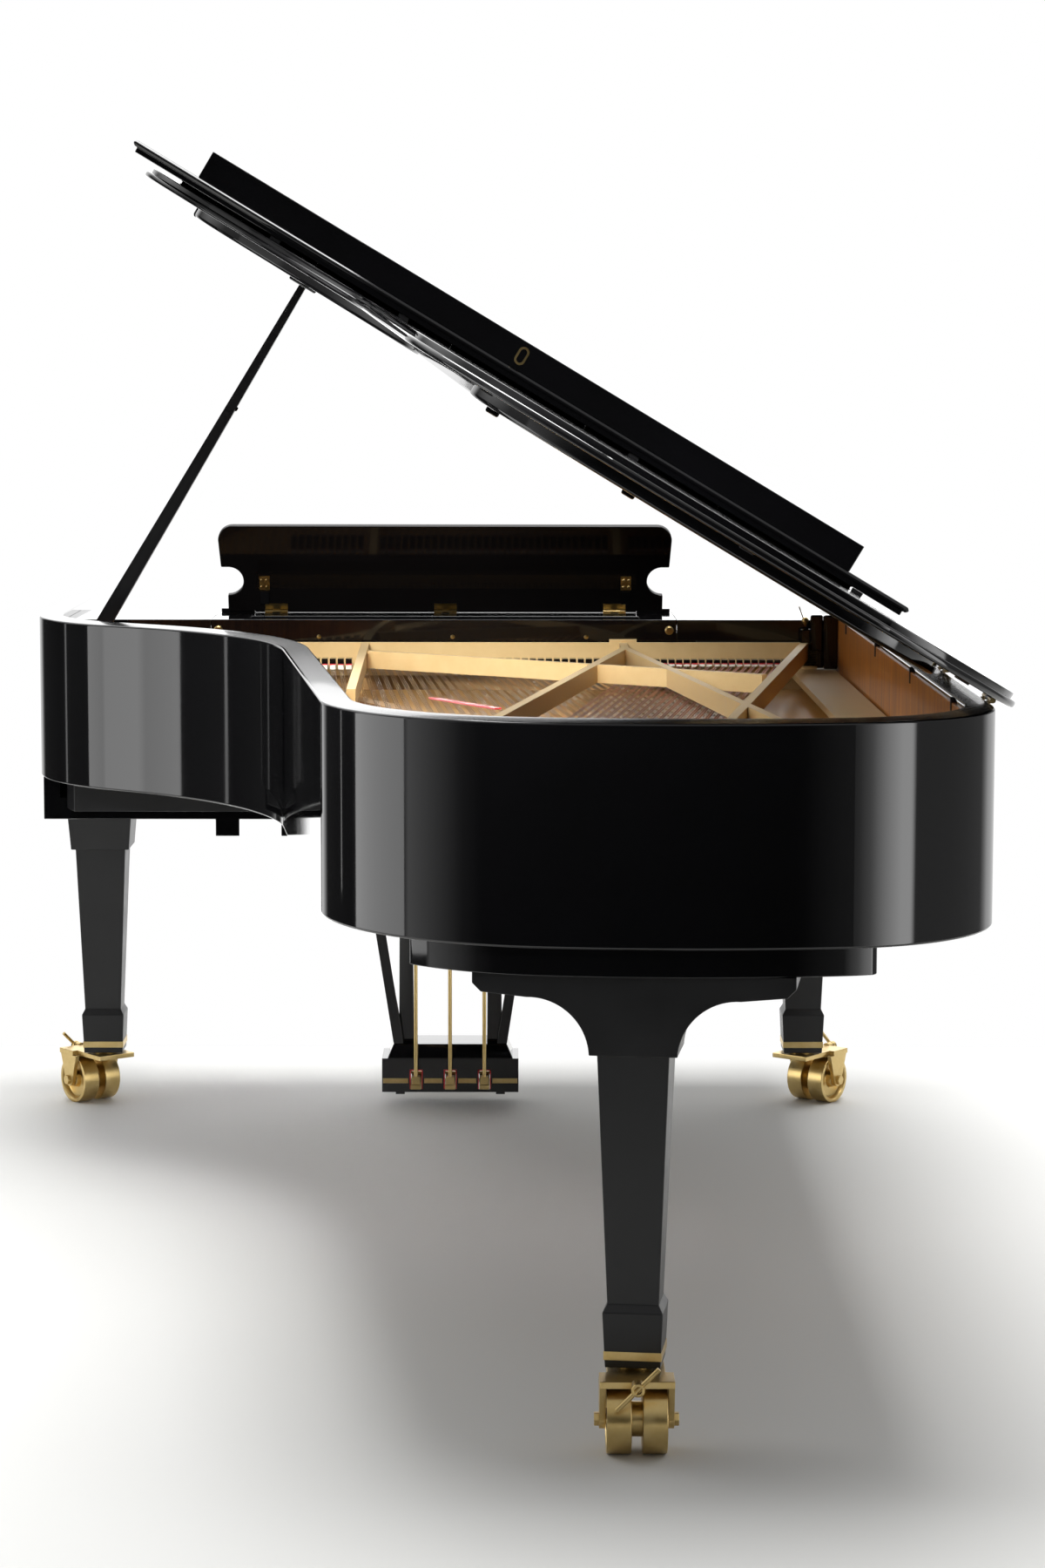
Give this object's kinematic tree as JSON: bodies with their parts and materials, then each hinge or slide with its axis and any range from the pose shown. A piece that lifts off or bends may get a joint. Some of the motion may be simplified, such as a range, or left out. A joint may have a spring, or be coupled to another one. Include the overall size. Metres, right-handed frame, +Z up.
{
  "type": "concert grand piano",
  "caption": "Black grand piano with its lid up on a stick, front flap folded back, music desk raised, pedal lyre and braked brass casters.",
  "frame": {"origin": "on the floor below the middle of the keyboard, in the plane of the arm fronts", "axes": "+X to the player's right, +Y from the keyboard to the tail, +Z up"},
  "size_m": [1.6199, 2.7618, 1.8644],
  "materials": {
    "black_lacquer": "polished black lacquer",
    "brown_veneer": "polished brown veneer",
    "raw_timber": "plain hardwood",
    "spruce": "varnished spruce",
    "plate_bronze": "satin bronze lacquer",
    "steel_pins": "blued steel",
    "steel_wire": "drawn music wire",
    "copper_wire": "wound copper",
    "red_felt": "woven felt",
    "damper_black": "black stained, white felt foot",
    "key_white": "satin white",
    "key_black": "satin black",
    "hammer_felt": "pressed felt",
    "brass": "polished brass",
    "black_rubber": "moulded rubber"
  },
  "bodies": {
    "case": {"back_frame": "raw_timber", "bass_strings": "copper_wire", "bridges": "raw_timber", "case_hinges": "brass", "cheek_blocks": "black_lacquer", "front_legs": "black_lacquer", "inner_rim": "raw_timber", "iron_plate": "plate_bronze", "key_slip": "black_lacquer", "keybed": "black_lacquer", "leg_bands": "brass", "lyre_box": "black_lacquer", "lyre_frame": "black_lacquer", "pin_block": "raw_timber", "plate_liner": "raw_timber", "prop_bracket": "black_lacquer", "rim": "black_lacquer", "rim_lining": "brown_veneer", "shelf_wings": "black_lacquer", "soundboard": "spruce", "soundboard_ribs": "spruce", "string_felt": "red_felt", "tail_block": "black_lacquer", "tail_leg": "black_lacquer", "treble_strings": "steel_wire", "tuning_pins": "steel_pins"},
    "lid": {"lid": "black_lacquer", "lid_hinges": "brass", "lid_fittings": "black_rubber"},
    "flap": {"lid_flap": "black_lacquer", "flap_lip": "black_lacquer", "lip_escutcheon": "brass", "flap_hinges": "brass"},
    "stick": {"prop_stick": "black_lacquer"},
    "key_frame": {"key_frame": "raw_timber"},
    "white_keys": {"white_keys": "key_white"},
    "black_keys": {"black_keys": "key_black"},
    "white_hammers": {"white_hammers": "hammer_felt"},
    "black_hammers": {"black_hammers": "hammer_felt"},
    "dampers": {"dampers": "damper_black"},
    "fallboard": {"fallboard": "black_lacquer"},
    "music_shelf": {"music_shelf": "black_lacquer", "shelf_fittings": "brass"},
    "music_desk": {"music_desk": "black_lacquer", "desk_hinges": "brass"},
    "pedal_left": {"pedal_left": "brass"},
    "rod_left": {"rod_left": "brass"},
    "pedal_middle": {"pedal_middle": "brass"},
    "rod_middle": {"rod_middle": "brass"},
    "pedal_right": {"pedal_right": "brass"},
    "rod_right": {"rod_right": "brass"},
    "fork_treble": {"fork_treble": "brass"},
    "wheels_treble": {"wheels_treble": "brass"},
    "brake_treble": {"brake_treble": "brass"},
    "fork_bass": {"fork_bass": "brass"},
    "wheels_bass": {"wheels_bass": "brass"},
    "brake_bass": {"brake_bass": "brass"},
    "fork_tail": {"fork_tail": "brass"},
    "wheels_tail": {"wheels_tail": "brass"},
    "brake_tail": {"brake_tail": "brass"}
  },
  "joints": [
    {"name": "lid_open", "type": "hinge", "parent": "case", "child": "lid", "pos_m": [-0.787, 1.5, 1.0027], "axis": [0, -1, 0], "range_deg": [0, 15]},
    {"name": "flap_unfold", "type": "hinge", "parent": "lid", "child": "flap", "pos_m": [-0.12698, 0.53, 1.43229], "axis": [0.8572, 0, 0.515], "range_deg": [0, 180]},
    {"name": "stick_fold", "type": "hinge", "parent": "case", "child": "stick", "pos_m": [0.648, 0.735, 0.985], "axis": [0, -1, 0], "range_deg": [0, 56]},
    {"name": "fallboard_close", "type": "hinge", "parent": "case", "child": "fallboard", "pos_m": [0, 0.222, 0.766], "axis": [1, 0, 0], "range_deg": [0, 90]},
    {"name": "shelf_slide", "type": "slide", "parent": "case", "child": "music_shelf", "axis": [0, -1, 0], "range_m": [0, 0.12]},
    {"name": "desk_fold", "type": "hinge", "parent": "music_shelf", "child": "music_desk", "pos_m": [0.014, 0.372, 0.994], "axis": [-1, 0, 0], "range_deg": [0, 70]},
    {"name": "key_shift", "type": "slide", "parent": "case", "child": "key_frame", "axis": [1, 0, 0], "range_m": [0, 0.0025]},
    {"name": "white_keys_press", "type": "hinge", "parent": "key_frame", "child": "white_keys", "pos_m": [0, 0.267, 0.7], "axis": [1, 0, 0], "range_deg": [0, 2.5], "stiffness_Nm_per_rad": 40, "springref_deg": -8.59},
    {"name": "white_hammers_strike", "type": "hinge", "parent": "key_frame", "child": "white_hammers", "pos_m": [0, 0.47, 0.812], "axis": [1, 0, 0], "range_deg": [0, 18.2]},
    {"name": "black_keys_press", "type": "hinge", "parent": "key_frame", "child": "black_keys", "pos_m": [0, 0.267, 0.7], "axis": [1, 0, 0], "range_deg": [0, 2.5], "stiffness_Nm_per_rad": 40, "springref_deg": -8.59},
    {"name": "black_hammers_strike", "type": "hinge", "parent": "key_frame", "child": "black_hammers", "pos_m": [0, 0.47, 0.812], "axis": [1, 0, 0], "range_deg": [0, 18.2]},
    {"name": "dampers_lift", "type": "slide", "parent": "case", "child": "dampers", "axis": [0, 0, 1], "range_m": [0, 0.0041]},
    {"name": "pedal_left_press", "type": "hinge", "parent": "case", "child": "pedal_left", "pos_m": [-0.062, 0.262, 0.06], "axis": [1, 0, 0], "range_deg": [0, 5], "stiffness_Nm_per_rad": 8, "springref_deg": -14.32},
    {"name": "rod_left_lift", "type": "slide", "parent": "case", "child": "rod_left", "axis": [0, 0, 1], "range_m": [0, 0.009]},
    {"name": "pedal_middle_press", "type": "hinge", "parent": "case", "child": "pedal_middle", "pos_m": [0.006, 0.262, 0.06], "axis": [1, 0, 0], "range_deg": [0, 5], "stiffness_Nm_per_rad": 8, "springref_deg": -14.32},
    {"name": "rod_middle_lift", "type": "slide", "parent": "case", "child": "rod_middle", "axis": [0, 0, 1], "range_m": [0, 0.009]},
    {"name": "pedal_right_press", "type": "hinge", "parent": "case", "child": "pedal_right", "pos_m": [0.074, 0.262, 0.06], "axis": [1, 0, 0], "range_deg": [0, 5], "stiffness_Nm_per_rad": 8, "springref_deg": -14.32},
    {"name": "rod_right_lift", "type": "slide", "parent": "case", "child": "rod_right", "axis": [0, 0, 1], "range_m": [0, 0.009]},
    {"name": "swivel_treble", "type": "hinge", "parent": "case", "child": "fork_treble", "pos_m": [0.697, 0.292, 0.111], "axis": [0, 0, 1], "continuous": true},
    {"name": "roll_treble", "type": "hinge", "parent": "fork_treble", "child": "wheels_treble", "pos_m": [0.73271, 0.24629, 0.047], "axis": [0.788, 0.6157, 0], "continuous": true},
    {"name": "brake_treble_turn", "type": "hinge", "parent": "fork_treble", "child": "brake_treble", "pos_m": [0.75364, 0.2195, 0.10237], "axis": [0.6157, -0.788, 0], "range_deg": [0, 90]},
    {"name": "swivel_bass", "type": "hinge", "parent": "case", "child": "fork_bass", "pos_m": [-0.697, 0.292, 0.111], "axis": [0, 0, 1], "continuous": true},
    {"name": "roll_bass", "type": "hinge", "parent": "fork_bass", "child": "wheels_bass", "pos_m": [-0.73271, 0.24629, 0.047], "axis": [0.788, -0.6157, 0], "continuous": true},
    {"name": "brake_bass_turn", "type": "hinge", "parent": "fork_bass", "child": "brake_bass", "pos_m": [-0.75364, 0.2195, 0.10237], "axis": [-0.6157, -0.788, 0], "range_deg": [0, 90]},
    {"name": "swivel_tail", "type": "hinge", "parent": "case", "child": "fork_tail", "pos_m": [-0.28303, 2.612, 0.111], "axis": [0, 0, 1], "continuous": true},
    {"name": "roll_tail", "type": "hinge", "parent": "fork_tail", "child": "wheels_tail", "pos_m": [-0.28303, 2.67, 0.047], "axis": [-1, 0, 0], "continuous": true},
    {"name": "brake_tail_turn", "type": "hinge", "parent": "fork_tail", "child": "brake_tail", "pos_m": [-0.28303, 2.704, 0.10237], "axis": [0, 1, 0], "range_deg": [0, 90]}
  ],
  "couplings": [
    {"joint": "white_hammers_strike", "follows": "white_keys_press", "ratio": 7.2},
    {"joint": "black_hammers_strike", "follows": "black_keys_press", "ratio": 7.2},
    {"joint": "dampers_lift", "follows": "pedal_right_press", "m_per_rad": 0.046},
    {"joint": "key_shift", "follows": "pedal_left_press", "m_per_rad": 0.0285},
    {"joint": "rod_left_lift", "follows": "pedal_left_press", "m_per_rad": 0.1},
    {"joint": "rod_middle_lift", "follows": "pedal_middle_press", "m_per_rad": 0.1},
    {"joint": "rod_right_lift", "follows": "pedal_right_press", "m_per_rad": 0.1}
  ]
}
